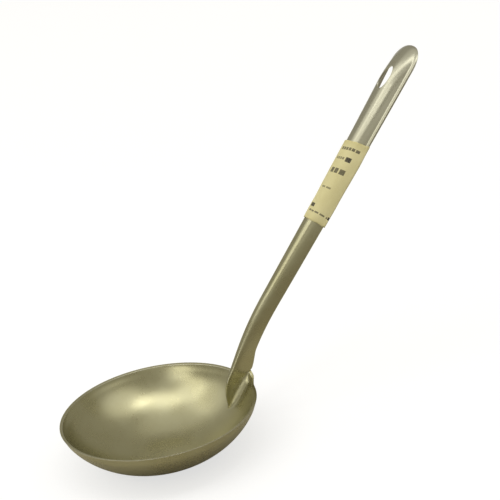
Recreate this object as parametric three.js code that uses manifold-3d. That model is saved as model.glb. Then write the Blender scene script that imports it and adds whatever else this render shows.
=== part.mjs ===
// An aluminium ladle: a pressed bowl, a pressed channel handle seated on the bowl's inner
// wall, the weld that joins the two, and a paper label band wrapped round the handle.
// Millimetres, +Z up. The origin is the middle of the bowl's flat foot, and +X points
// to the handle. The handle leans out from the rim in the XZ plane.
import * as THREE from "three";
import { mergeVertices } from "three/addons/utils/BufferGeometryUtils.js";
import Module from "manifold-3d";

const wasm = await Module();
wasm.setup();

// Bowl
const rimDiameter = 115; // outside of the rounded rim
const rimHeight = 28.5; // the rim's centre line above the foot
const footDiameter = 20; // flat on the underside
const bowlSheet = 2;
const rimSlope = THREE.MathUtils.degToRad(66); // the wall at the rim, from level
const floorPull = 0.485; // how long the bowl's floor stays flat, as a share of the span
const wallPull = 0.552; // how long the wall stays steep, as a share of the rim's height

// Ear: the rim climbs behind the handle to carry its back
const earRise = 6.5;
const earReach = 14; // from the handle's plane to where the rim starts to climb

// Handle, measured along its open back from the rim
const handleLength = 216.8;
const handleSheet = 1.2;
const neckWidth = 5.3; // at the open back
const tipWidth = 25.8; // at the open back
const neckDepth = 9.7;
const tipDepth = 7.2;
const neckAngle = THREE.MathUtils.degToRad(58.9);
const shankAngle = THREE.MathUtils.degToRad(47.5);
const tipAngle = THREE.MathUtils.degToRad(48.7);
const neckRun = 6.7; // straight beside the ear
const bendRun = 45.5; // over which the neck eases into the shank
const neckFullness = 4; // 2 is a round crown, more is squarer
const tipFullness = 4.6;
const neckLean = 0.22; // the share by which the crown is narrower than the open back
const tipLean = 0.52;
const noseLength = 14.8; // rounded end
const noseDip = 1.15; // the crown comes down over the nose, 2 is an ellipse
const noseRound = 2.25; // the nose from above

// Toe: the handle's lower end, tapering down the inside of the bowl
const toeStart = 3; // below the rim
const toeLength = 17.5;
const toeDrop = 8.5; // the ridge comes down to the wall
const toeCurl = 1.2; // above 1 the ridge starts down gently
const toeRound = 2; // the toe from above, 2 is an ellipse
const toeSink = 6; // the skirt runs into the wall, and is trimmed to it
const channelEnd = 1; // the channel's closed end above the rim

// Hang hole
const holeLength = 14.5;
const holeWidth = 7.8;
const holeFromTip = 23.5;

// Weld
const weldRadius = 0.9;
const weldBelowEar = 1.5;

// Paper label
const labelStart = 100;
const labelLength = 49.5;
const paperThickness = 0.3;

// Clearances
const seatGap = 0.3;
const paperGap = 0.3;
const cutOver = 2; // how far a cutter runs past what it cuts

// Facets
const bowlColumns = 96;
const wallRows = 8;
const rimRows = 4;
const crownSides = 20;
const toeRings = 8;
const neckRings = 4;
const bendRings = 9;
const shankRings = 10;
const noseRings = 9;
const labelRings = 6;
const endShare = 0.985; // the rounded ends stop at a small blunt point
const weldSides = 8;
const weldSideSpots = 6;
const weldPointSpots = 8;
const weldSteps = 24;
const holeSides = 32;
const pathSteps = 160;
const halvings = 40;
const mergeDistance = 1e-4;

const rimRadius = (rimDiameter - bowlSheet) / 2;

function smooth(share) {
  return THREE.MathUtils.smoothstep(share, 0, 1);
}

// The mid-line of the bowl's wall, from the foot's edge to the rim, as radius and height
const wallLine = new THREE.CubicBezierCurve(
  new THREE.Vector2(footDiameter / 2, bowlSheet / 2),
  new THREE.Vector2(footDiameter / 2 + floorPull * (rimRadius - footDiameter / 2), bowlSheet / 2),
  new THREE.Vector2(
    rimRadius - wallPull * rimHeight * Math.cos(rimSlope),
    rimHeight - wallPull * rimHeight * Math.sin(rimSlope),
  ),
  new THREE.Vector2(rimRadius, rimHeight),
);

// The wall line moved sideways: positive to the outside of the bowl
function wallOffset(share, distance) {
  const tangent = wallLine.getTangent(share);
  return wallLine.getPoint(share).add(new THREE.Vector2(tangent.y, -tangent.x).multiplyScalar(distance));
}

// Points along the moved wall line, from the foot's edge up to the share given last
function wallPoints(distance, lastShare) {
  const points = [];
  for (let i = 0; i <= wallRows; i++) {
    points.push(wallOffset((i / wallRows) * lastShare, distance));
  }
  return points;
}

// A closed mesh as a solid, and a solid as a mesh
function solidOf(geometry) {
  const bare = new THREE.BufferGeometry();
  bare.setAttribute("position", geometry.getAttribute("position"));
  bare.setIndex(geometry.getIndex());
  const merged = mergeVertices(bare, mergeDistance);
  const corners = merged.index.array;
  const kept = [];
  for (let i = 0; i < corners.length; i += 3) {
    const [a, b, c] = corners.slice(i, i + 3);
    if (a !== b && b !== c && c !== a) {
      kept.push(a, b, c);
    }
  }
  const vertProperties = new Float32Array(merged.getAttribute("position").array);
  return new wasm.Manifold(new wasm.Mesh({ numProp: 3, vertProperties, triVerts: new Uint32Array(kept) }));
}

function geometryOf(solid) {
  const mesh = solid.getMesh();
  const geometry = new THREE.BufferGeometry();
  geometry.setAttribute("position", new THREE.BufferAttribute(mesh.vertProperties, 3));
  geometry.setIndex(new THREE.BufferAttribute(mesh.triVerts, 1));
  geometry.computeVertexNormals();
  return geometry;
}

// A lathe turned so that its axis is Z
function turned(profile) {
  return new THREE.LatheGeometry(profile, bowlColumns).rotateX(Math.PI / 2);
}

// Bowl
function makeBowl() {
  const half = bowlSheet / 2;
  const lastWall = 1 - 1 / (2 * wallRows); // half a row below the rim
  const rim = [];
  for (let i = 0; i <= rimRows; i++) {
    const turn = rimSlope - Math.PI / 2 + (i / rimRows) * Math.PI;
    rim.push(new THREE.Vector2(rimRadius + half * Math.cos(turn), rimHeight + half * Math.sin(turn)));
  }
  const profile = [
    new THREE.Vector2(0, 0),
    ...wallPoints(half, lastWall),
    ...rim,
    ...wallPoints(-half, lastWall).reverse(),
    new THREE.Vector2(0, bowlSheet),
  ];
  const geometry = turned(profile);
  const position = geometry.getAttribute("position");
  const firstRim = 1 + wallRows + 1;
  for (let i = 0; i < position.count; i++) {
    const row = i % profile.length;
    if (row >= firstRim && row <= firstRim + rimRows && position.getX(i) > 0) {
      const rise = earRise * (1 - smooth(Math.abs(position.getY(i)) / earReach));
      const outward = Math.atan2(position.getY(i), position.getX(i));
      const lean = rise * Math.cos(neckAngle);
      position.setX(i, position.getX(i) + lean * Math.cos(outward));
      position.setY(i, position.getY(i) + lean * Math.sin(outward));
      position.setZ(i, position.getZ(i) + rise * Math.sin(neckAngle));
    }
  }
  return geometryOf(solidOf(geometry));
}

// The handle's back line, just inside the rim, and its heading at a distance from the rim
const backStart = new THREE.Vector2(rimRadius, rimHeight).add(
  new THREE.Vector2(-Math.sin(neckAngle), Math.cos(neckAngle)).multiplyScalar(bowlSheet / 2 + seatGap),
);

function headingAt(along) {
  const bend = smooth((along - neckRun) / bendRun);
  const rest = THREE.MathUtils.clamp((along - neckRun - bendRun) / (handleLength - neckRun - bendRun), 0, 1);
  return neckAngle + (shankAngle - neckAngle) * bend + (tipAngle - shankAngle) * rest;
}

// A frame at a distance from the rim: X across, Y out of the ridge, Z along the handle
function stationAt(along) {
  const place = new THREE.Vector3(backStart.x, 0, backStart.y);
  for (let i = 0; i < pathSteps; i++) {
    const heading = headingAt(((i + 0.5) / pathSteps) * along);
    place.x += (Math.cos(heading) * along) / pathSteps;
    place.z += (Math.sin(heading) * along) / pathSteps;
  }
  const heading = headingAt(along);
  const forward = new THREE.Vector3(Math.cos(heading), 0, Math.sin(heading));
  const ridge = new THREE.Vector3(-Math.sin(heading), 0, Math.cos(heading));
  const across = new THREE.Vector3().crossVectors(ridge, forward);
  return new THREE.Matrix4().makeBasis(across, ridge, forward).setPosition(place);
}

function widthAt(along) {
  return neckWidth + ((tipWidth - neckWidth) * along) / handleLength;
}

function depthAt(along) {
  return neckDepth + ((tipDepth - neckDepth) * along) / handleLength;
}

function fullnessAt(along) {
  return neckFullness + ((tipFullness - neckFullness) * along) / handleLength;
}

function leanAt(along) {
  return neckLean + ((tipLean - neckLean) * along) / handleLength;
}

// How far into the toe or the nose a place is, from 0 to 1. A skin inside the sheet closes sooner.
function toeShare(along, inset) {
  return THREE.MathUtils.clamp((-toeStart - along) / (toeLength - inset), 0, 1);
}

function noseShare(along, inset) {
  return THREE.MathUtils.clamp((along - handleLength + noseLength) / (noseLength - inset), 0, 1);
}

// A rounded end's half size, from 1 where it starts to 0 at its point
function closing(share, fullness) {
  return Math.pow(1 - Math.pow(share, fullness), 1 / fullness);
}

// The skin of the handle at a distance from the rim, grown outward (or inward, below 0)
function skinAt(along, grow) {
  const toe = toeShare(along, 0);
  const nose = noseShare(along, Math.max(0, -grow));
  const taper = closing(toe, toeRound) * closing(nose, noseRound);
  return {
    half: (widthAt(along) / 2 + grow) * taper,
    top: (depthAt(along) - toeDrop * Math.pow(toe, toeCurl) + grow) * closing(nose, noseDip),
    bottom: -toeSink * smooth(-along / toeSink),
  };
}

// Half a section's width at a share of its depth, against its half at the open back
function flankAt(along, share) {
  return closing(share, fullnessAt(along)) * (1 - leanAt(along) * share);
}

// A ring of points round the channel's filled section, with a straight skirt below it
function ringAt(along, { half, top, bottom }, skirt = 0) {
  const station = stationAt(along);
  const ring = [new THREE.Vector3(half, bottom - skirt, 0)];
  for (let i = skirt > 0 ? 0 : 1; i < crownSides; i++) {
    const turn = (i / crownSides) * Math.PI;
    const share = Math.pow(Math.sin(turn), 2 / fullnessAt(along));
    const aside = half * Math.sign(Math.cos(turn)) * flankAt(along, share);
    ring.push(new THREE.Vector3(aside, bottom + (top - bottom) * share, 0));
  }
  if (skirt > 0) {
    ring.push(new THREE.Vector3(-half, bottom, 0));
  }
  ring.push(new THREE.Vector3(-half, bottom - skirt, 0));
  return ring.map((spot) => spot.applyMatrix4(station));
}

// A solid through rings with the same number of points
function loft(rings) {
  const sides = rings[0].length;
  const points = rings.flat();
  const index = [];
  for (let r = 0; r + 1 < rings.length; r++) {
    for (let i = 0; i < sides; i++) {
      const a = r * sides + i;
      const b = r * sides + ((i + 1) % sides);
      index.push(a, b, b + sides, a, b + sides, a + sides);
    }
  }
  const last = (rings.length - 1) * sides;
  for (let i = 1; i + 1 < sides; i++) {
    index.push(0, i + 1, i, last, last + i, last + i + 1);
  }
  return solidOf(new THREE.BufferGeometry().setFromPoints(points).setIndex(index));
}

// Places along the handle, closer together where it bends or closes
function places(from, to, count, ease = (share) => share) {
  return Array.from({ length: count }, (_, i) => from + (to - from) * ease(i / count));
}

// Handle
const roundEnd = (share) => Math.sin((share * Math.PI) / 2);

function makeHandle() {
  const toeTip = -toeStart - toeLength * endShare;
  const noseStart = handleLength - noseLength;
  const outside = [
    ...places(toeTip, -toeStart, toeRings, (share) => 1 - roundEnd(1 - share)),
    ...places(-toeStart, neckRun, neckRings),
    ...places(neckRun, neckRun + bendRun, bendRings),
    ...places(neckRun + bendRun, noseStart, shankRings),
    ...places(noseStart, noseStart + noseLength * endShare, noseRings, roundEnd),
    noseStart + noseLength * endShare,
  ];
  const innerNose = noseLength - handleSheet;
  const inside = [
    ...places(channelEnd, neckRun + bendRun, neckRings + bendRings),
    ...places(neckRun + bendRun, noseStart, shankRings),
    ...places(noseStart, noseStart + innerNose * endShare, noseRings, roundEnd),
    noseStart + innerNose * endShare,
  ];
  const shell = loft(outside.map((along) => ringAt(along, skinAt(along, 0))));
  const channel = loft(
    inside.map((along) => ringAt(along, { ...skinAt(along, -handleSheet), bottom: 0 }, cutOver)),
  );
  return geometryOf(shell.subtract(channel).subtract(makeSeat()).subtract(makeHole()));
}

// What the bowl's inner wall leaves out of the toe: all that is outside it, less the gap
function makeSeat() {
  const inset = bowlSheet / 2 + seatGap;
  const far = rimRadius + rimHeight;
  return solidOf(
    turned([
      new THREE.Vector2(0, -rimHeight),
      new THREE.Vector2(far, -rimHeight),
      new THREE.Vector2(far, wallOffset(1, -inset).y),
      ...wallPoints(-inset, 1).reverse(),
      new THREE.Vector2(0, bowlSheet + seatGap),
    ]),
  );
}

// An oval cutter through the crown near the tip
function makeHole() {
  const along = handleLength - holeFromTip;
  const oval = new THREE.Shape().absellipse(0, 0, holeWidth / 2, holeLength / 2, 0, 2 * Math.PI);
  const cutter = new THREE.ExtrudeGeometry(oval, {
    depth: depthAt(along),
    bevelEnabled: false,
    curveSegments: holeSides,
  });
  cutter.rotateX(-Math.PI / 2).rotateY(Math.PI).translate(0, cutOver, 0);
  return solidOf(cutter.applyMatrix4(stationAt(along)));
}

// The bowl's wall line with the ear on top, as points, to measure from
const wallWithEar = [
  ...wallLine.getPoints(pathSteps),
  new THREE.Vector2(Math.cos(neckAngle), Math.sin(neckAngle))
    .multiplyScalar(earRise)
    .add(new THREE.Vector2(rimRadius, rimHeight)),
];

function distanceToWall(point) {
  const spot = new THREE.Vector3(Math.hypot(point.x, point.y), point.z, 0);
  const nearest = new THREE.Vector3();
  let least = Infinity;
  for (let i = 0; i + 1 < wallWithEar.length; i++) {
    const from = new THREE.Vector3(wallWithEar[i].x, wallWithEar[i].y, 0);
    const to = new THREE.Vector3(wallWithEar[i + 1].x, wallWithEar[i + 1].y, 0);
    new THREE.Line3(from, to).closestPointToPoint(spot, true, nearest);
    least = Math.min(least, nearest.distanceTo(spot));
  }
  return least;
}

// The value between two limits where a test that holds at the first one stops holding
function turningPoint(from, to, holds) {
  let near = from;
  let far = to;
  for (let i = 0; i < halvings; i++) {
    const middle = (near + far) / 2;
    if (holds(middle)) {
      near = middle;
    } else {
      far = middle;
    }
  }
  return far;
}

// How far a point a given distance inside the wall is above a place on the handle's back
function wallRise(along, aside, distance) {
  const station = stationAt(along);
  const near = (rise) => distanceToWall(new THREE.Vector3(aside, rise, 0).applyMatrix4(station)) < distance;
  return turningPoint(-bowlSheet / 2, neckDepth + bowlSheet, near);
}

// Whether the handle's skin stands above the bowl's inner wall at a place
function standsOut(along, aside) {
  const { half, top, bottom } = skinAt(along, 0);
  const share = turningPoint(0, 1, (rise) => half * flankAt(along, rise) > aside);
  return bottom + (top - bottom) * share > wallRise(along, aside, bowlSheet / 2);
}

// Where the toe's skin meets the wall: half its width there
function toeHalf(along) {
  return turningPoint(0, skinAt(along, 0).half, (aside) => standsOut(along, aside));
}

// Weld: one run down one side of the toe, round its point and up the other side
function makeWeld() {
  const beside = seatGap + weldRadius;
  const inside = bowlSheet / 2 + seatGap + weldRadius;
  const top = earRise - weldBelowEar;
  const point = turningPoint(-toeStart, -toeStart - toeLength, (along) => standsOut(along, 0));
  const edge = [
    ...places(top, -toeStart, weldSideSpots).map((along) => new THREE.Vector2(along, toeHalf(along))),
    ...places(-toeStart, point, weldPointSpots, roundEnd).map(
      (along) => new THREE.Vector2(along, toeHalf(along)),
    ),
    new THREE.Vector2(point, 0),
  ];
  const outline = new THREE.SplineCurve([
    ...edge,
    ...edge.slice(0, -1).reverse().map((spot) => new THREE.Vector2(spot.x, -spot.y)),
  ]);
  const path = places(0, 1, weldSteps).concat(1).map((share) => {
    const run = outline.getTangent(share);
    const spot = outline.getPoint(share).add(new THREE.Vector2(run.y, -run.x).multiplyScalar(beside));
    const rise = wallRise(spot.x, spot.y, inside);
    return new THREE.Vector3(spot.y, rise, 0).applyMatrix4(stationAt(spot.x));
  });
  const bead = new THREE.Shape(
    places(0, 2 * Math.PI, weldSides).map(
      (turn) => new THREE.Vector2(weldRadius * Math.cos(turn), weldRadius * Math.sin(turn)),
    ),
  );
  return new THREE.ExtrudeGeometry(bead, {
    steps: 2 * weldSteps,
    extrudePath: new THREE.CatmullRomCurve3(path),
    bevelEnabled: false,
  });
}

// Paper label: a band drawn flat across the channel's open back
function makeLabel() {
  const band = (from, to, grow) =>
    loft(
      [...places(from, to, labelRings), to].map((along) =>
        ringAt(along, { ...skinAt(along, grow), bottom: -grow }),
      ),
    );
  const outside = band(labelStart, labelStart + labelLength, paperGap + paperThickness);
  const inside = band(labelStart - cutOver, labelStart + labelLength + cutOver, paperGap);
  return geometryOf(outside.subtract(inside));
}

const goldAluminium = { color: 0x9a9270, roughness: 0.38, metalness: 1 };
const ladle = new THREE.Group();

function addPiece(name, geometry, finish) {
  const piece = new THREE.Mesh(geometry, new THREE.MeshStandardMaterial(finish));
  piece.name = name;
  ladle.add(piece);
}

addPiece("bowl", makeBowl(), goldAluminium);
addPiece("handle", makeHandle(), goldAluminium);
addPiece("neck_weld", makeWeld(), goldAluminium);
addPiece("paper_label", makeLabel(), { color: 0xd9cfa6, roughness: 0.85, metalness: 0 });

export default ladle;
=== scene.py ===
import functools
import math

import bmesh
import bpy
from mathutils import Matrix, Vector, noise
from mathutils.bvhtree import BVHTree


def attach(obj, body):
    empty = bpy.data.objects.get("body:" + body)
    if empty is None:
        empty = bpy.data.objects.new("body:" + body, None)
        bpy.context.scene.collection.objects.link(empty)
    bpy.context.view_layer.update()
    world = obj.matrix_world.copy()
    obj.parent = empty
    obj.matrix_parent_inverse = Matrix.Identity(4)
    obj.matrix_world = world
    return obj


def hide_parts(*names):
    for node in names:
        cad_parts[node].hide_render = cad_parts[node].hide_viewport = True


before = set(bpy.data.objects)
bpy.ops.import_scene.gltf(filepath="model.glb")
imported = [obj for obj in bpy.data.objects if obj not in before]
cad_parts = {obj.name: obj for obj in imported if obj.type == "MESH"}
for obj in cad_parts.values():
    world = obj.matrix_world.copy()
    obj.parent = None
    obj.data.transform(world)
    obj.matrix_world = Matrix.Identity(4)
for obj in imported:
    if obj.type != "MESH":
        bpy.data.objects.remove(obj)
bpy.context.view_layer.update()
scene = bpy.context.scene
mm = 0.001
mergeDistance = 1e-7
print("frame loaded:", sorted(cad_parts))


def clamp(share):
    return min(max(share, 0.0), 1.0)


def smooth(share):
    share = clamp(share)
    return share * share * (3 - 2 * share)


def mix(start, end, share):
    return start + (end - start) * share


def closing(share, fullness):  # a rounded end: 1 where it starts, 0 at its point
    return max(1 - clamp(share) ** fullness, 0.0) ** (1 / fullness)


def spread(start, end, count, ease=lambda share: share):  # places from the start, short of the end
    return [mix(start, end, ease(i / count)) for i in range(count)]


def roundEnd(share):  # places that crowd towards a rounded end
    return math.sin(share * math.pi / 2)


def turningPoint(near, far, holds, halvings=26):  # where a test that holds near by stops holding
    for _ in range(halvings):
        middle = (near + far) / 2
        if holds(middle):
            near = middle
        else:
            far = middle
    return far


# Meshes
def loft(rings):  # a grid pulled over closed rings of points, keeping its own UV map
    rows = len(rings) - 1
    columns = len(rings[0])
    bm = bmesh.new()
    bm.loops.layers.uv.new("UVMap")
    bmesh.ops.create_grid(bm, x_segments=columns, y_segments=rows, size=1, calc_uvs=True)
    for vert in bm.verts:
        column = round((vert.co.x + 1) / 2 * columns)
        row = round((vert.co.y + 1) / 2 * rows)
        vert.co = rings[row][column % columns]
    bmesh.ops.remove_doubles(bm, verts=bm.verts, dist=mergeDistance)
    return bm


def capEnds(bm):
    bmesh.ops.holes_fill(bm, edges=[edge for edge in bm.edges if edge.is_boundary], sides=0)


def turnProfile(profile, columns):  # a profile of radius and height, spun about the bowl's axis
    bm = bmesh.new()
    verts = [bm.verts.new((spot.x, 0, spot.y)) for spot in profile]
    edges = [bm.edges.new(pair) for pair in zip(verts, verts[1:])]
    bmesh.ops.spin(
        bm,
        geom=verts + edges,
        cent=(0, 0, 0),
        axis=(0, 0, 1),
        angle=2 * math.pi,
        steps=columns,
        use_merge=True,
    )
    bmesh.ops.remove_doubles(bm, verts=bm.verts, dist=mergeDistance)
    return bm


def addObject(name, bm):
    bmesh.ops.recalc_face_normals(bm, faces=bm.faces)
    mesh = bpy.data.meshes.new(name)
    bm.to_mesh(mesh)
    bm.free()
    made = bpy.data.objects.new(name, mesh)
    scene.collection.objects.link(made)
    return made


def cutAway(piece, *cutters):  # boolean cuts, with the result kept as the piece's own mesh
    for cutter in cutters:
        cut = piece.modifiers.new("cut", "BOOLEAN")
        cut.operation = "DIFFERENCE"
        cut.solver = "EXACT"
        cut.object = cutter
    bm = bmesh.new()
    bm.from_object(piece, bpy.context.evaluated_depsgraph_get())
    bmesh.ops.remove_doubles(bm, verts=bm.verts, dist=mergeDistance)
    piece.modifiers.clear()
    bm.to_mesh(piece.data)
    bm.free()
    for cutter in cutters:
        bpy.data.objects.remove(cutter)


def shadeSmooth(piece, sharpFrom=math.radians(38)):
    bm = bmesh.new()
    bm.from_mesh(piece.data)
    for face in bm.faces:
        face.smooth = True
    for edge in bm.edges:
        edge.smooth = edge.calc_face_angle(0) < sharpFrom
    bm.to_mesh(piece.data)
    bm.free()


# Bowl
bowl = {
    "rimDiameter": 115 * mm,
    "rimHeight": 28.5 * mm,  # the rim's centre line above the foot
    "footDiameter": 20 * mm,
    "sheet": 2 * mm,
    "rimSlope": math.radians(66),  # the wall at the rim, from level
    "floorPull": 0.485,  # how long the floor stays flat, as a share of the span
    "wallPull": 0.552,  # how long the wall stays steep, as a share of the rim's height
    "earRise": 5.4 * mm,  # the rim climbs behind the handle
    "earReach": 14 * mm,  # from the handle's plane to where the rim starts to climb
    "earFoot": 21 * mm,  # the height where the wall starts to climb into the ear
    "earLean": math.radians(38),  # how the ear leans beside the handle
    "earEase": 4 * mm,  # over which it takes on that lean
    "rimThinning": 0.3 * mm,  # each face draws in towards the rim
    "thinStart": 0.9,
    "thinSteps": 10,
    "rimSlant": 0.72,  # the rim's top slopes down into the bowl
    "rimCrown": 0.3 * mm,
    "rimSquareness": 0.5,
    "wallSteps": 40,
    "rimSteps": 16,
    "columns": 240,
}
rimRadius = (bowl["rimDiameter"] - bowl["sheet"]) / 2
rimRun = Vector((math.cos(bowl["rimSlope"]), math.sin(bowl["rimSlope"])))


def wallAt(share, inset):  # radius and height on the wall's mid-line, moved into the bowl by the inset
    footRadius = bowl["footDiameter"] / 2
    level = bowl["sheet"] / 2
    reach = bowl["wallPull"] * bowl["rimHeight"]
    foot = Vector((footRadius, level))
    floor = Vector((mix(footRadius, rimRadius, bowl["floorPull"]), level))
    rim = Vector((rimRadius, bowl["rimHeight"]))
    wall = rim - rimRun * reach
    rest = 1 - share
    point = foot * rest**3 + floor * 3 * rest**2 * share + wall * 3 * rest * share**2 + rim * share**3
    run = (floor - foot) * rest**2 + (wall - floor) * 2 * rest * share + (rim - wall) * share**2
    run.normalize()
    return point + Vector((-run.y, run.x)) * inset


def raiseEar(bm):
    for vert in bm.verts:
        if vert.co.x > 0 and abs(vert.co.y) < bowl["earReach"]:
            lift = smooth((vert.co.z - bowl["earFoot"]) / (bowl["rimHeight"] - bowl["earFoot"]))
            rise = bowl["earRise"] * lift * (1 - smooth(abs(vert.co.y) / bowl["earReach"]))
            outward = Vector((vert.co.x, vert.co.y, 0)).normalized()
            beside = smooth((abs(vert.co.y) - handle["neckWidth"] / 2) / bowl["earEase"])
            climb = mix(handle["neckAngle"], bowl["earLean"], beside)
            vert.co += outward * rise * math.cos(climb)
            vert.co.z += rise * math.sin(climb)


def makeBowl():
    half = bowl["sheet"] / 2
    rimHalf = half - bowl["rimThinning"]
    rimCentre = wallAt(1, 0)
    rim = []
    for i in range(bowl["rimSteps"] + 1):
        turn = math.pi * (i / bowl["rimSteps"] - 0.5)
        inward = math.copysign(abs(math.sin(turn)) ** bowl["rimSquareness"], turn) * rimHalf
        upward = max(math.cos(turn), 0) ** bowl["rimSquareness"] * bowl["rimCrown"]
        upward -= inward * bowl["rimSlant"]
        rim.append(rimCentre + rimRun * upward + Vector((-rimRun.y, rimRun.x)) * inward)
    # the inner face ends lower, where the slanted rim meets it
    innerEnd = 1 - rimHalf * bowl["rimSlant"] / (3 * bowl["wallPull"] * bowl["rimHeight"])
    outside = []
    inside = []
    shares = spread(0, bowl["thinStart"], bowl["wallSteps"])
    for share in shares + spread(bowl["thinStart"], 1, bowl["thinSteps"]):
        thinned = bowl["rimThinning"] * smooth((share - bowl["thinStart"]) / (1 - bowl["thinStart"]))
        outside.append(wallAt(share, thinned - half))
        inside.append(wallAt(share * innerEnd, half - thinned))
    profile = [Vector((0, 0)), *outside, *rim, *reversed(inside), Vector((0, bowl["sheet"]))]
    bm = turnProfile(profile, bowl["columns"])
    raiseEar(bm)
    return addObject("ladleBowl", bm)


# Handle, measured along its open back from the rim
handle = {
    "length": 216.8 * mm,
    "sheet": 1.2 * mm,
    "neckWidth": 5.3 * mm,  # at the open back
    "tipWidth": 26.4 * mm,
    "neckDepth": 9.7 * mm,
    "tipDepth": 7.3 * mm,
    "neckAngle": math.radians(58.9),
    "shankAngle": math.radians(47.5),
    "tipAngle": math.radians(48.7),
    "neckRun": 6.7 * mm,  # straight beside the ear
    "bendRun": 45.5 * mm,  # over which the neck eases into the shank
    "neckFullness": 4,  # 2 is a round crown, more is squarer
    "tipFullness": 4.6,
    "neckLean": 0.22,  # the share by which the crown is narrower than the open back
    "tipLean": 0.52,
    "domeStart": 40 * mm,  # the crown turns into a dome from here to there
    "domeEnd": 150 * mm,
    "domeFullness": 2.9,
    "noseLength": 14.8 * mm,  # the rounded end, from above
    "noseRound": 2.25,
    "dipLength": 26 * mm,  # the crown comes down over the nose
    "dipRound": 1.5,
    "toeStart": 1 * mm,  # below the rim
    "toeLength": 19.5 * mm,
    "toeDrop": 8.5 * mm,  # the ridge comes down to the wall
    "toeCurl": 2.3,  # above 1 the ridge starts down gently
    "toeFullness": 4.2,
    "toeRound": 6 * mm,  # the crown is a dome from this far before the toe to as far past it
    "toeSink": 6 * mm,  # the sides run into the wall, and are trimmed to it
    "channelEnd": 1 * mm,  # the channel's closed end above the rim
    "seatGap": 0.3 * mm,
    "seatSink": 0.1 * mm,  # the toe bites into the wall, as welded metal does
    "seatEase": 4 * mm,  # over which the back leaves the ear
    "heel": 1.9 * mm,  # the sides are deeper over the ear
    "heelStart": 3 * mm,
    "heelRise": 5 * mm,
    "heelRun": 12 * mm,
    "edgeRound": 0.32 * mm,
    "lip": 1.3 * mm,  # a step along the edge, more and more towards the tip
    "lipHeight": 0.6 * mm,
    "lipBase": 0.7 * mm,
    "lipStart": 95 * mm,
    "lipEnd": 165 * mm,
    "lipRound": 2,  # how it closes at the nose
    "cornerLimit": 0.12,  # the most that these take of a section's height
    "baseLimit": 0.1,
    "lipHeightLimit": 0.15,
    "lipLimit": 0.4,  # the most that it takes of half the width
    "edgeLimit": 0.3,  # of half the width, or of the channel's height
    "cornerLead": 0.1,  # keeps the step's first point off the edge's last
    "channelCorner": 0.02 * mm,
    "cornerSteps": 4,
    "lipSteps": 7,
    "flankSteps": 14,
    "crownSteps": 14,
    "toeRings": 24,
    "neckRings": 60,
    "shankRings": 70,
    "noseRings": 40,
    "channelNeckRings": 50,
    "channelNoseRings": 38,
    "toeEnd": 0.9995,  # the rounded ends stop just short of a point
    "noseEnd": 0.01 * mm,
    "cutOver": 4 * mm,  # how far a cutter runs past what it cuts
}
hangHole = {
    "length": 14.5 * mm,
    "width": 8.2 * mm,
    "fromTip": 23.5 * mm,
    "edgeRound": 0.35 * mm,
    "arcSteps": 6,
    "sides": 72,
}
neckRidge = Vector((-math.sin(handle["neckAngle"]), math.cos(handle["neckAngle"])))
backStart = Vector((rimRadius, bowl["rimHeight"])) + neckRidge * (bowl["sheet"] / 2 + handle["seatGap"])


def headingAt(along):
    bent = handle["neckRun"] + handle["bendRun"]
    bend = smooth((along - handle["neckRun"]) / handle["bendRun"])
    rest = clamp((along - bent) / (handle["length"] - bent))
    swing = (handle["shankAngle"] - handle["neckAngle"]) * bend
    return handle["neckAngle"] + swing + (handle["tipAngle"] - handle["shankAngle"]) * rest


@functools.cache
def stationAt(along, steps=60):  # X across, Y out of the ridge, Z along the handle
    x, z = backStart
    for i in range(steps):
        heading = headingAt((i + 0.5) / steps * along)
        x += math.cos(heading) * along / steps
        z += math.sin(heading) * along / steps
    heading = headingAt(along)
    forward = Vector((math.cos(heading), 0, math.sin(heading)))
    ridge = Vector((-math.sin(heading), 0, math.cos(heading)))
    across = ridge.cross(forward)
    station = Matrix((across, ridge, forward)).transposed().to_4x4()
    station.translation = (x, 0, z)
    return station


def taperAt(name, along):  # a value that changes evenly from the neck to the tip
    return mix(handle["neck" + name], handle["tip" + name], along / handle["length"])


def endShare(along, length, grow):  # how far into the rounded end a place lies, from 0 to 1
    return (along - handle["length"] + length) / (length - max(0, -grow))


def skinAt(along, grow):  # half the width, the ridge's height and the sides' foot
    toe = clamp((-handle["toeStart"] - along) / handle["toeLength"])
    nose = endShare(along, handle["noseLength"], grow)
    half = (taperAt("Width", along) / 2 + grow) * closing(toe, handle["toeFullness"])
    half *= closing(nose, handle["noseRound"])
    drop = handle["toeDrop"] * toe ** handle["toeCurl"]
    dip = endShare(along, handle["dipLength"], grow)
    top = (taperAt("Depth", along) - drop + grow) * closing(dip, handle["dipRound"])
    return half, top, -handle["toeSink"] * smooth(-along / handle["toeSink"])


def lipAt(along):  # how wide the step along the edge is
    nose = endShare(along, handle["noseLength"], 0)
    grown = smooth((along - handle["lipStart"]) / (handle["lipEnd"] - handle["lipStart"]))
    return handle["lip"] * grown * closing(nose, handle["lipRound"])


def baseAt(along):  # how high the edge stands below that step
    return handle["lipBase"] * lipAt(along) / handle["lip"]


def domeAt(along):
    shank = smooth((along - handle["domeStart"]) / (handle["domeEnd"] - handle["domeStart"]))
    return max(shank, smooth((handle["toeRound"] - along) / (2 * handle["toeRound"])))


def flankAt(along, share):  # half the width at a share of the depth, against the half at the back
    boxed = closing(share, taperAt("Fullness", along)) * (1 - taperAt("Lean", along) * share)
    domed = max(1 - share, 0.0) ** (1 / handle["domeFullness"])
    return mix(boxed, domed, domeAt(along))


def risesAt(along):  # shares of the depth from the edge to the ridge, close together where it bends
    fullness = taperAt("Fullness", along)
    shoulder = 0.5 ** (1 / fullness)  # where the boxed crown turns over
    boxed = spread(0, shoulder, handle["flankSteps"])
    boxed += [closing(aside, fullness) for aside in spread(shoulder, 0, handle["crownSteps"])]
    domed = [1 - (1 - i / len(boxed)) ** handle["domeFullness"] for i in range(len(boxed))]
    return [mix(box, dome, domeAt(along)) for box, dome in zip(boxed, domed)] + [1.0]


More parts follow.
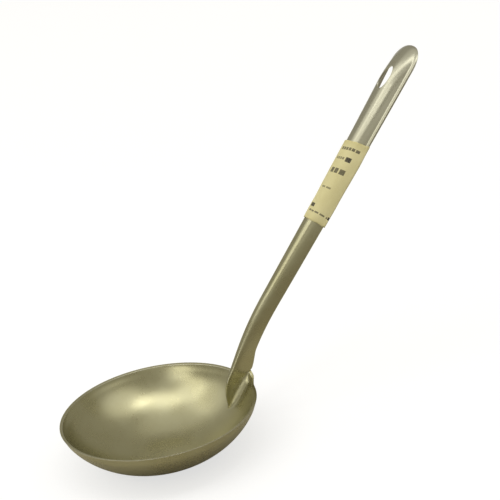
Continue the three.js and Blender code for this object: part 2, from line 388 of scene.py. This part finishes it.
def backAt(along):  # the back is let into the ear, and its sides reach back over the ear's top
    seat = handle["seatGap"] + handle["seatSink"]
    seat *= 1 - smooth((along - bowl["earRise"]) / handle["seatEase"])
    reached = smooth((along - handle["heelStart"]) / handle["heelRise"])
    left = 1 - smooth((along - handle["heelStart"] - handle["heelRise"]) / handle["heelRun"])
    return -seat - handle["heel"] * reached * left


def flank(along, half, top, bottom, corner, lip, base):  # one side of a section, from edge to ridge
    height = top - bottom
    corner = min(corner, handle["cornerLimit"] * height)
    base = min(base, handle["baseLimit"] * height)
    foot = min(handle["lipHeight"], handle["lipHeightLimit"] * height)
    lip = min(lip, handle["lipLimit"] * half)
    turned = corner * lip / handle["lip"]
    places = [(corner, 0)]
    for i in range(handle["cornerSteps"]):
        turn = math.pi / 2 * (i + handle["cornerLead"]) / handle["cornerSteps"]
        places.append((base + corner * (1 + math.sin(turn)), turned * (1 - math.cos(turn))))
    for i in range(handle["lipSteps"]):
        turn = math.pi / 2 * i / handle["lipSteps"]
        rise = base + 2 * corner + foot * (1 - math.cos(turn))
        places.append((rise, turned + (lip - turned) * math.sin(turn)))
    start = base + 2 * corner + foot
    places += [(mix(start, height, share), lip) for share in risesAt(along)]
    spots = []
    for rise, pulled in places:
        share = max(rise - base, 0) / (height - base)
        spots.append(Vector(((half - pulled) * flankAt(along, share), bottom + rise, 0)))
    return spots


def roundedEdge(start, corner):  # a quarter turn from the back up to the start of a side
    edge = []
    for i in range(handle["cornerSteps"]):
        turn = math.pi / 2 * (i / handle["cornerSteps"] - 1)
        edge.append(start + Vector((corner * (math.cos(turn) - 1), corner * math.sin(turn), 0)))
    return edge


def placeRing(along, side):  # both sides of a section, put at its station
    station = stationAt(along)
    other = [Vector((-spot.x, spot.y, 0)) for spot in reversed(side[:-1])]
    return [station @ spot for spot in side + other]


def shellRing(along):
    half, top, bottom = skinAt(along, 0)
    bottom += backAt(along)
    height = top - bottom
    corner = min(handle["edgeRound"], handle["cornerLimit"] * height, handle["edgeLimit"] * half)
    side = flank(along, half, top, bottom, corner, lipAt(along), baseAt(along))
    return placeRing(along, roundedEdge(side[0], corner) + side)


def channelRing(along):
    half, top, _ = skinAt(along, -handle["sheet"])
    side = flank(along, half, top, 0, handle["channelCorner"], lipAt(along), baseAt(along))
    corner = min(handle["edgeRound"], handle["edgeLimit"] * top)
    for spot in side:
        rounding = max(corner - spot.y, 0)
        spot.x += corner - math.sqrt(corner**2 - rounding**2)
    below = Vector((side[0].x, -handle["cutOver"], 0))
    return placeRing(along, [below, *side])


def makeSeat():  # all that lies outside the bowl's inner wall
    inset = bowl["sheet"] / 2 - handle["seatSink"]
    steps = bowl["wallSteps"]
    far = rimRadius + bowl["rimHeight"]
    wall = [wallAt(i / steps, inset) for i in range(steps + 1)]
    low = -bowl["rimHeight"]
    profile = [Vector((0, low)), Vector((far, low)), Vector((far, wall[-1].y)), *reversed(wall)]
    profile.append(Vector((0, wall[0].y)))
    return addObject("seatCutter", turnProfile(profile, bowl["columns"]))


def makeHole():  # an oval cutter that flares at both faces of the sheet, to round the hole's edges
    along = handle["length"] - hangHole["fromTip"]
    top = skinAt(along, 0)[1]
    bottom = top - handle["sheet"]
    rounding = hangHole["edgeRound"]
    turns = [math.pi / 2 * i / hangHole["arcSteps"] for i in range(hangHole["arcSteps"] + 1)]
    arc = [(rounding * (1 - math.cos(turn)), rounding * (1 - math.sin(turn))) for turn in turns]
    levels = [(top + handle["cutOver"], rounding)]
    levels += [(top - sink, flare) for sink, flare in arc]
    levels += [(bottom + sink, flare) for sink, flare in reversed(arc)]
    levels.append((bottom - handle["cutOver"], rounding))
    station = stationAt(along)
    rings = []
    for rise, flare in levels:
        ring = []
        for i in range(hangHole["sides"]):
            turn = 2 * math.pi * i / hangHole["sides"]
            across = (hangHole["width"] / 2 + flare) * math.cos(turn)
            forward = (hangHole["length"] / 2 + flare) * math.sin(turn)
            ring.append(station @ Vector((across, rise, forward)))
        rings.append(ring)
    bm = loft(rings)
    capEnds(bm)
    return addObject("holeCutter", bm)


def makeHandle():
    toeTop = -handle["toeStart"]
    toePoint = (toeTop - handle["toeLength"]) * handle["toeEnd"]
    bent = handle["neckRun"] + handle["bendRun"]
    noseStart = handle["length"] - handle["dipLength"]
    innerNose = handle["length"] - handle["sheet"]
    outside = [
        *spread(toePoint, toeTop, handle["toeRings"], lambda share: 1 - roundEnd(1 - share)),
        *spread(toeTop, bent, handle["neckRings"]),
        *spread(bent, noseStart, handle["shankRings"]),
        *spread(noseStart, handle["length"], handle["noseRings"], roundEnd),
        handle["length"] - handle["noseEnd"],
    ]
    inside = [
        *spread(handle["channelEnd"], bent, handle["channelNeckRings"]),
        *spread(bent, noseStart, handle["shankRings"]),
        *spread(noseStart, innerNose, handle["channelNoseRings"], roundEnd),
        innerNose - handle["noseEnd"],
    ]
    shell = loft([shellRing(along) for along in outside])
    capEnds(shell)
    channel = loft([channelRing(along) for along in inside])
    capEnds(channel)
    piece = addObject("ladleHandle", shell)
    # the channel comes last: its thin slivers can leave a cut that follows them open
    cutAway(piece, makeHole(), makeSeat(), addObject("channelCutter", channel))
    return piece


# Weld
weld = {
    "top": 4.3 * mm,  # along the handle, below the ear's top
    "topLeg": 0.8 * mm,  # how far the fillet reaches along the wall and up the toe
    "leg": 5.5 * mm,
    "pointLeg": 1.6 * mm,
    "legGrowth": 1.9,
    "sink": 0.5 * mm,
    "rayHeight": 3 * handle["neckDepth"],  # well above the ridge
    "sideSteps": 12,
    "pointSteps": 26,
    "faceSteps": 10,
}


def wallUnder(bowlTree, along, aside):  # the bowl's inner face under a place on the handle
    station = stationAt(along)
    ridge = station.col[1].to_3d()
    hit, facing, _, _ = bowlTree.ray_cast(station @ Vector((aside, weld["rayHeight"], 0)), -ridge)
    return hit, facing


def skinOver(along, aside):  # the handle's surface over a place on its back
    half, top, bottom = skinAt(along, 0)
    bottom += backAt(along)
    share = turningPoint(0, 1, lambda rise: half * flankAt(along, rise) > aside)
    return stationAt(along) @ Vector((aside, mix(bottom, top, share), 0))


def standsOut(bowlTree, along, aside):  # whether the handle is clear of the wall there
    hit = wallUnder(bowlTree, along, aside)[0]
    ridge = stationAt(along).col[1].to_3d()
    return hit is None or (skinOver(along, aside) - hit).dot(ridge) > 0


def toeEdge(bowlTree):  # where the toe's side meets the wall, from the ear down to the toe's point
    start = -handle["toeStart"]
    end = start - handle["toeLength"]
    point = turningPoint(start, end, lambda along: standsOut(bowlTree, along, 0))
    places = spread(weld["top"], start, weld["sideSteps"])
    places += spread(start, point, weld["pointSteps"], roundEnd)
    edge = []
    for along in places:
        half = skinAt(along, 0)[0]
        aside = turningPoint(0, half, lambda spot: standsOut(bowlTree, along, spot))
        edge.append(Vector((along, aside)))
    return edge + [Vector((point, 0))]


def filletRing(bowlTree, spot, out, leg):  # a hollow curve from the wall up to the handle
    crease, facing = wallUnder(bowlTree, *spot)
    onWall = wallUnder(bowlTree, *(spot + out * leg))[0]

    def onHandle(step):
        return skinOver(spot.x - out.x * step, max(spot.y - out.y * step, 0))

    step = turningPoint(0, leg, lambda reach: (onHandle(reach) - crease).length < leg)
    ring = [crease - facing * weld["sink"]]
    for i in range(weld["faceSteps"] + 1):
        share = i / weld["faceSteps"]
        ring.append(mix(mix(onWall, crease, share), mix(crease, onHandle(step), share), share))
    return ring


def makeWeld(bowlPiece):
    bm = bmesh.new()
    bm.from_mesh(bowlPiece.data)
    bowlTree = BVHTree.FromBMesh(bm)
    bm.free()
    edge = toeEdge(bowlTree)
    rings = []
    for i, spot in enumerate(edge):
        before = edge[max(i - 1, 0)]
        after = edge[i + 1] if i + 1 < len(edge) else Vector((before.x, -before.y))
        run = after - before
        out = Vector((run.y, -run.x)).normalized()
        share = i / len(edge)
        leg = mix(weld["topLeg"], weld["leg"], smooth(share * weld["legGrowth"]))
        leg = mix(leg, weld["pointLeg"], smooth(2 * share - 1))  # shorter over the lower half
        rings.append(filletRing(bowlTree, spot, out, leg))
    flip = Matrix.Diagonal((1, -1, 1))
    rings += [[flip @ spot for spot in ring] for ring in reversed(rings[:-1])]
    bm = loft(rings)
    capEnds(bm)
    return addObject("neckWeld", bm)


# Paper label
label = {
    "start": 100 * mm,
    "length": 49.5 * mm,
    "paper": 0.15 * mm,
    "gap": 0.12 * mm,
    "loose": 1.1 * mm,  # the band stands off the handle's edges
    "tight": 0.35 * mm,  # but less so at its upper end
    "tightFrom": 0.75,
    "skew": 3.4 * mm,  # the upper end runs higher on one side
    "corner": 0.8 * mm,
    "raggedEnd": 0.5 * mm,
    "raggedFade": 3,  # how fast this fades from the ends to the middle
    "raggedScale": 1.7,
    "pucker": 0.16 * mm,
    "puckerLift": 0.6,
    "puckerScale": 2.3,
    "puckerSeed": Vector((5, 1, 3)),
    "puckerCore": 3 * mm,  # the height in the handle that the paper swells away from
    "noiseStretch": 2.4,
    "rows": 60,
    "backSteps": 12,
}


def placeRaggedRing(along, side, share):  # a ring of paper, puckered, skewed and ragged at the ends
    other = [Vector((-spot.x, spot.y, 0)) for spot in reversed(side[1:-1])]
    ragged = label["raggedEnd"] * abs(2 * share - 1) ** label["raggedFade"]
    ring = []
    for i, spot in enumerate(side + other):
        turn = 2 * math.pi * i / (len(side) + len(other))
        loop = Vector((math.cos(turn), math.sin(turn), share * label["noiseStretch"]))
        nudge = noise.noise(loop * label["raggedScale"]) * ragged
        nudge += label["skew"] * share * (0.5 - spot.x / taperAt("Width", along))
        out = Vector((spot.x, spot.y - label["puckerCore"], 0)).normalized()
        swell = label["puckerLift"] + noise.noise(loop * label["puckerScale"] + label["puckerSeed"])
        ring.append(stationAt(along) @ (spot + out * label["pucker"] * swell + Vector((0, 0, nudge))))
    return ring


def labelRing(share):
    along = label["start"] + label["length"] * share
    half, top, _ = skinAt(along, label["gap"])
    tight = smooth((share - label["tightFrom"]) / (1 - label["tightFrom"]))
    half += mix(label["loose"], label["tight"], tight)
    side = flank(along, half, top, -label["gap"], label["corner"], 0, baseAt(along))
    edge = roundedEdge(side[0], label["corner"])
    steps = label["backSteps"]
    back = [Vector((edge[0].x * i / steps, edge[0].y, 0)) for i in range(steps)]
    return placeRaggedRing(along, back + edge + side, share)


def makeLabel():
    bm = loft([labelRing(i / label["rows"]) for i in range(label["rows"] + 1)])
    piece = addObject("paperLabel", bm)
    thickness = piece.modifiers.new("paper", "SOLIDIFY")
    thickness.thickness = label["paper"]
    thickness.offset = 1
    return piece


# Materials
def newMaterial(name):
    material = bpy.data.materials.new(name)
    material.use_nodes = True
    return material, material.node_tree, material.node_tree.nodes["Principled BSDF"]


def rgba(colour):
    return (*colour, 1)


def feed(tree, node, inputs):  # a link for each socket, and a constant for the rest
    for key, value in inputs.items():
        if isinstance(value, bpy.types.NodeSocket):
            tree.links.new(value, node.inputs[key])
        else:
            node.inputs[key].default_value = value


def addNode(tree, kind, inputs=None, **settings):
    node = tree.nodes.new("ShaderNode" + kind)
    for key, value in settings.items():
        setattr(node, key, value)
    feed(tree, node, inputs or {})
    return node


def addNoise(tree, place, scale, detail, roughness):
    inputs = {"Vector": place, "Scale": scale, "Detail": detail, "Roughness": roughness}
    return addNode(tree, "TexNoise", inputs).outputs["Fac"]


def addRange(tree, value, start, end):
    inputs = {
        "Value": value,
        "From Min": start[0],
        "From Max": start[1],
        "To Min": end[0],
        "To Max": end[1],
    }
    return addNode(tree, "MapRange", inputs).outputs["Result"]


def addMath(tree, operation, *values):
    return addNode(tree, "Math", dict(enumerate(values)), operation=operation).outputs[0]


def addBlend(tree, share, first, second):  # a mix of two colours, by number because socket names repeat
    inputs = {"Factor": share, 6: first, 7: second}
    return addNode(tree, "Mix", inputs, data_type="RGBA").outputs[2]


aluminium = {
    "gold": (0.385, 0.361, 0.208),
    "paleGold": (0.425, 0.405, 0.253),
    "wornGrey": (0.47, 0.462, 0.385),  # where hands and edges have worn the gold thin
    "cloud": (38, 4, 0.5),  # noises: scale, detail and roughness
    "scuff": (420, 5, 0.65),
    "grain": (2300, 2, 0.5),
    "paleRange": (0.35, 0.65),
    "wearHeights": (100 * mm, 165 * mm),  # between which the handle's wear sets in
    "wear": 0.65,
    "rubRange": (0.35, 0.6),
    "rub": (0.2, 0.9),  # the least and most wear on an edge
    "bendFrom": 350,  # the bend at which an edge starts to wear, in radians a metre
    "bendRange": 1500,
    "bendSpan": 0.05 * mm,
    "satinScuff": 0.6,
    "satinRange": (0.6, 1.0),
    "roughness": (0.245, 0.32),
    "reliefScuff": 0.5,
    "relief": 0.16,
    "reliefDepth": 0.03 * mm,
}


def markWear(piece):  # an attribute from 0 on gentle forms to 1 on tight outward bends
    bm = bmesh.new()
    bm.from_mesh(piece.data)
    worn = bm.verts.layers.float.new("worn")
    for edge in bm.edges:
        if len(edge.link_faces) == 2:
            first, second = [face.calc_center_median() for face in edge.link_faces]
            bend = edge.calc_face_angle_signed(0) / max((first - second).length, aluminium["bendSpan"])
            wear = clamp((bend - aluminium["bendFrom"]) / aluminium["bendRange"])
            for vert in edge.verts:
                vert[worn] = max(vert[worn], wear)
    bm.to_mesh(piece.data)
    bm.free()


def makeGoldAluminium():
    material, tree, shader = newMaterial("goldAluminium")
    place = addNode(tree, "TexCoord").outputs["Object"]
    cloud = addNoise(tree, place, *aluminium["cloud"])
    scuff = addNoise(tree, place, *aluminium["scuff"])
    grain = addNoise(tree, place, *aluminium["grain"])
    pale = addRange(tree, cloud, aluminium["paleRange"], (0, 1))
    tone = addBlend(tree, pale, rgba(aluminium["gold"]), rgba(aluminium["paleGold"]))
    height = addNode(tree, "SeparateXYZ", {"Vector": place}).outputs["Z"]
    handled = addRange(tree, height, aluminium["wearHeights"], (0, aluminium["wear"]))
    edge = addNode(tree, "Attribute", attribute_name="worn").outputs["Fac"]
    rubbed = addMath(tree, "MULTIPLY", edge, addRange(tree, scuff, aluminium["rubRange"], aluminium["rub"]))
    worn = addMath(tree, "MAXIMUM", handled, rubbed)
    satin = addMath(tree, "ADD", cloud, addMath(tree, "MULTIPLY", scuff, aluminium["satinScuff"]))
    relief = addMath(tree, "ADD", grain, addMath(tree, "MULTIPLY", scuff, aluminium["reliefScuff"]))
    depth = {"Height": relief, "Strength": aluminium["relief"], "Distance": aluminium["reliefDepth"]}
    finish = {
        "Base Color": addBlend(tree, worn, tone, rgba(aluminium["wornGrey"])),
        "Roughness": addRange(tree, satin, aluminium["satinRange"], aluminium["roughness"]),
        "Normal": addNode(tree, "Bump", depth).outputs["Normal"],
        "Metallic": 1,
    }
    feed(tree, shader, finish)
    return material


paper = {
    "cream": (0.74, 0.675, 0.365),
    "aged": (0.62, 0.55, 0.25),
    "ink": (0.05, 0.043, 0.03),
    "fibre": (1500, 4, 0.7),  # noises: scale, detail and roughness
    "blotch": (90, 3, 0.5),
    "noiseRange": (0.3, 0.7),
    "blotchAge": (0, 0.35),
    "fibreAge": (-0.12, 0.2),
    "endRange": (0.42, 0.5),  # from the band's middle, where its ends are soiled
    "endAge": (0, 0.45),
    "inkRange": (0.25, 0.55),
    "inkCover": (0.75, 1),
    "roughness": (0.74, 0.9),
    "relief": 0.2,
    "reliefDepth": 0.05 * mm,
    "dashFill": 0.76,  # how much of a dash's step is inked
    "bars": [  # left, right, low and high edge on the label's map, dashes, darkness
        (0.44, 0.745, 0.885, 0.92, 6, 0.85),
        (0.43, 0.61, 0.765, 0.795, 4, 0.7),
        (0.63, 0.7, 0.75, 0.805, 1, 1),
        (0.45, 0.715, 0.595, 0.655, 3, 0.85),
        (0.45, 0.66, 0.4, 0.42, 2, 0.65),
        (0.43, 0.53, 0.15, 0.195, 1, 1),
        (0.45, 0.81, 0.095, 0.115, 5, 0.8),
        (0.83, 0.87, 0.085, 0.12, 1, 1),
    ],
}


def printedBars(tree, u, v):  # plain bars, whole or in dashes
    ink = None
    for left, right, low, high, dashes, darkness in paper["bars"]:
        across = addMath(tree, "COMPARE", v, (low + high) / 2, (high - low) / 2)
        across = addMath(tree, "MULTIPLY", across, darkness)
        step = (right - left) / dashes
        half = step * (1 if dashes == 1 else paper["dashFill"]) / 2
        for i in range(dashes):
            along = addMath(tree, "COMPARE", u, left + step * (i + 0.5), half)
            bar = addMath(tree, "MULTIPLY", along, across)
            ink = bar if ink is None else addMath(tree, "MAXIMUM", ink, bar)
    return ink


def makeCreamPaper():
    material, tree, shader = newMaterial("creamPaper")
    coords = addNode(tree, "TexCoord").outputs
    u, v, _ = addNode(tree, "SeparateXYZ", {"Vector": coords["UV"]}).outputs
    fibre = addNoise(tree, coords["Object"], *paper["fibre"])
    blotch = addNoise(tree, coords["Object"], *paper["blotch"])
    fromMiddle = addMath(tree, "ABSOLUTE", addMath(tree, "SUBTRACT", v, 0.5))
    blotched = addRange(tree, blotch, paper["noiseRange"], paper["blotchAge"])
    soiled = addMath(tree, "ADD", blotched, addRange(tree, fromMiddle, paper["endRange"], paper["endAge"]))
    fibrous = addRange(tree, fibre, paper["noiseRange"], paper["fibreAge"])
    sheet = addBlend(tree, addMath(tree, "ADD", soiled, fibrous), rgba(paper["cream"]), rgba(paper["aged"]))
    cover = addRange(tree, fibre, paper["inkRange"], paper["inkCover"])
    ink = addMath(tree, "MULTIPLY", printedBars(tree, u, v), cover)
    depth = {"Height": fibre, "Strength": paper["relief"], "Distance": paper["reliefDepth"]}
    finish = {
        "Base Color": addBlend(tree, ink, sheet, rgba(paper["ink"])),
        "Roughness": addRange(tree, blotch, paper["noiseRange"], paper["roughness"]),
        "Normal": addNode(tree, "Bump", depth).outputs["Normal"],
    }
    feed(tree, shader, finish)
    return material


def dress(piece, material, node, slot):
    shadeSmooth(piece)
    if slot == "gold_aluminium":
        markWear(piece)
    piece.data.materials.clear()
    piece.data.materials.append(material)
    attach(piece, "root")
    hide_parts(node)
    print("made", piece.name, len(piece.data.polygons), "faces")
    return piece


goldAluminium = makeGoldAluminium()
creamPaper = makeCreamPaper()
bowlPiece = dress(makeBowl(), goldAluminium, "bowl", "gold_aluminium")
dress(makeHandle(), goldAluminium, "handle", "gold_aluminium")
dress(makeWeld(bowlPiece), goldAluminium, "neck_weld", "gold_aluminium")
dress(makeLabel(), creamPaper, "paper_label", "label_paper")

# Camera, with its angles in degrees
view = {
    "azimuth": -23,
    "elevation": 22.56,
    "roll": 9.76,
    "distance": 1.0,
    "aim": Vector((74.31, 2.24, 103.84)) * mm,
    "focalPixels": 1741.8,
    "framePixels": 500,
    "sensor": 36,  # millimetres
}


def wayTo(azimuth, elevation):
    turn = math.radians(azimuth)
    lift = math.radians(elevation)
    return Vector((math.sin(turn) * math.cos(lift), -math.cos(turn) * math.cos(lift), math.sin(lift)))


def makeCamera():
    turn = math.radians(view["azimuth"])
    roll = math.radians(view["roll"])
    back = wayTo(view["azimuth"], view["elevation"])
    level = Vector((math.cos(turn), math.sin(turn), 0))
    upright = back.cross(level)
    right = level * math.cos(roll) - upright * math.sin(roll)
    up = level * math.sin(roll) + upright * math.cos(roll)
    camera = bpy.data.objects.new("camera", bpy.data.cameras.new("camera"))
    camera.data.sensor_width = view["sensor"]
    camera.data.lens = view["sensor"] * view["focalPixels"] / view["framePixels"]
    placed = Matrix((right, up, back)).transposed().to_4x4()
    placed.translation = view["aim"] + back * view["distance"]
    camera.matrix_world = placed
    scene.collection.objects.link(camera)
    scene.camera = camera


makeCamera()
print("camera placed")

# Stage, with the lamps' angles in degrees
stage = {
    "floorSize": 24.0,
    "floorDrop": 0.02 * mm,
    "floorColour": 0.4,  # the share of white that takes the shadow
    "floorGlow": 0.67,  # the rest of the white
    "worldColour": (0.46, 0.44, 0.385),
    "lampReach": 3.0,
    "cardHeight": 0.5 * mm,
}
lamps = [  # the spread is half the width and height, as angles seen from the object
    {"name": "leftLamp", "azimuth": -91, "elevation": 53, "spread": (14, 18), "glow": 1.4},
    {"name": "farLamp", "azimuth": -126, "elevation": 44, "spread": (22, 18), "glow": 0.7},
    {"name": "sideLamp", "azimuth": -60, "elevation": 38, "spread": (13, 9), "glow": 1.7},
    {"name": "frontLamp", "azimuth": -25, "elevation": 21, "spread": (14, 9), "glow": 0.35},
    {"name": "overLamp", "azimuth": -48, "elevation": 77, "spread": (16, 11), "glow": 2.2},
    {"name": "topLamp", "azimuth": 25, "elevation": 72, "spread": (7, 6), "glow": 4.4},
    {"name": "rightLamp", "azimuth": 45, "elevation": 56, "spread": (22, 20), "glow": 0.8},
    {"name": "lowLamp", "azimuth": -58, "elevation": 8, "spread": (24, 6), "glow": 1.3},
    {"name": "backLamp", "azimuth": 195, "elevation": 66, "spread": (26, 24), "glow": 0.36},
]
cards = [  # x and y in metres, turned with the camera
    {"name": "frontCard", "x": (-3, 3), "y": (-3, -0.09), "colour": (0.36, 0.33, 0.27)},
    {"name": "nearCard", "x": (-0.3, 0.3), "y": (-0.09, 0.05), "colour": (0.6, 0.56, 0.46)},
    {"name": "leftCard", "x": (-3, -0.3), "y": (-0.09, 3), "colour": (0.36, 0.33, 0.27)},
    {"name": "rightCard", "x": (0.3, 3), "y": (-0.09, 3), "colour": (0.36, 0.33, 0.27)},
]


def makePlane(name, x, y, height, turn=0.0):
    bm = bmesh.new()
    bmesh.ops.create_grid(bm, x_segments=1, y_segments=1, size=0.5)
    bmesh.ops.scale(bm, verts=bm.verts, vec=(x[1] - x[0], y[1] - y[0], 1))
    bmesh.ops.translate(bm, verts=bm.verts, vec=(sum(x) / 2, sum(y) / 2, height))
    bmesh.ops.rotate(bm, verts=bm.verts, cent=(0, 0, 0), matrix=Matrix.Rotation(turn, 3, "Z"))
    plane = addObject(name, bm)
    return plane


def makeFloor():  # white to the camera and in reflections, with the object's shadow on it
    reach = (-stage["floorSize"] / 2, stage["floorSize"] / 2)
    floor = makePlane("floor", reach, reach, -stage["floorDrop"])
    material, tree, shader = newMaterial("paleFloor")
    rays = addNode(tree, "LightPath").outputs
    seen = addMath(tree, "MAXIMUM", rays["Is Camera Ray"], rays["Is Glossy Ray"])
    seen = addMath(tree, "MAXIMUM", seen, rays["Is Transmission Ray"])
    glow = addNode(tree, "Emission", {"Strength": addMath(tree, "MULTIPLY", seen, stage["floorGlow"])})
    paint = addNode(tree, "BsdfDiffuse", {"Color": rgba((stage["floorColour"],) * 3)})
    both = addNode(tree, "AddShader", {0: glow.outputs[0], 1: paint.outputs[0]})
    tree.nodes.remove(shader)
    feed(tree, tree.nodes["Material Output"], {"Surface": both.outputs[0]})
    floor.data.materials.append(material)


def makeCards():  # dark cards just above the floor, seen only in reflections
    turn = math.radians(view["azimuth"])
    for card in cards:
        plane = makePlane(card["name"], card["x"], card["y"], stage["cardHeight"], turn)
        plane.visible_camera = False
        plane.visible_diffuse = False
        plane.visible_shadow = False
        material, tree, shader = newMaterial(card["name"])
        feed(tree, shader, {"Base Color": rgba(card["colour"]), "Roughness": 1})
        plane.data.materials.append(material)


def makeLamps():
    for lamp in lamps:
        wide, high = [stage["lampReach"] * math.tan(math.radians(half)) for half in lamp["spread"]]
        light = bpy.data.lights.new(lamp["name"], "AREA")
        light.shape = "ELLIPSE"
        light.size = 2 * wide
        light.size_y = 2 * high
        area = math.pi * wide * high
        light.energy = lamp["glow"] * math.pi * area
        made = bpy.data.objects.new(lamp["name"], light)
        way = wayTo(lamp["azimuth"], lamp["elevation"])
        made.matrix_world = way.to_track_quat("Z", "Y").to_matrix().to_4x4()
        made.matrix_world.translation = view["aim"] + way * stage["lampReach"]
        scene.collection.objects.link(made)


makeFloor()
makeCards()
makeLamps()
world = bpy.data.worlds.new("studio")
world.use_nodes = True
world.node_tree.nodes["Background"].inputs["Color"].default_value = rgba(stage["worldColour"])
scene.world = world
scene.view_settings.view_transform = "Standard"
print("stage and lamps made")
